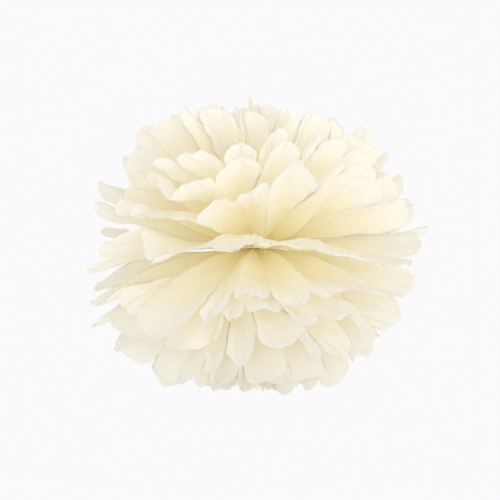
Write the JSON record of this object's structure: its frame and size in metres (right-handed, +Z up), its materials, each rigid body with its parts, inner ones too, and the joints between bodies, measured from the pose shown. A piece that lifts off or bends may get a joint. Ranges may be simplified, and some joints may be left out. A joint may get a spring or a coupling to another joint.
{
  "type": "tissue paper pom pom",
  "caption": "Hanging ball of tissue paper: pleated sheets with rounded ends, tied at the middle with wire and pulled apart into petals.",
  "frame": {"origin": "middle of the neck, where the wire ties the stack of sheets", "axes": "+Z up as the ball hangs, -Y towards the viewer of the picture, the two tied halves fan out to -Y and +Y"},
  "size_m": [0.2542, 0.2392, 0.2203],
  "materials": {
    "cream_tissue": "thin matt cream tissue, light shows through",
    "tie_wire": "plain galvanised craft wire"
  },
  "bodies": {
    "root": {"tissue_sheet_01": "cream_tissue", "tissue_sheet_02": "cream_tissue", "tissue_sheet_03": "cream_tissue", "tissue_sheet_04": "cream_tissue", "tissue_sheet_05": "cream_tissue", "tissue_sheet_06": "cream_tissue", "tissue_sheet_07": "cream_tissue", "tissue_sheet_08": "cream_tissue", "tissue_sheet_09": "cream_tissue", "tissue_sheet_10": "cream_tissue", "tissue_sheet_11": "cream_tissue", "tie_wire": "tie_wire"}
  },
  "joints": []
}
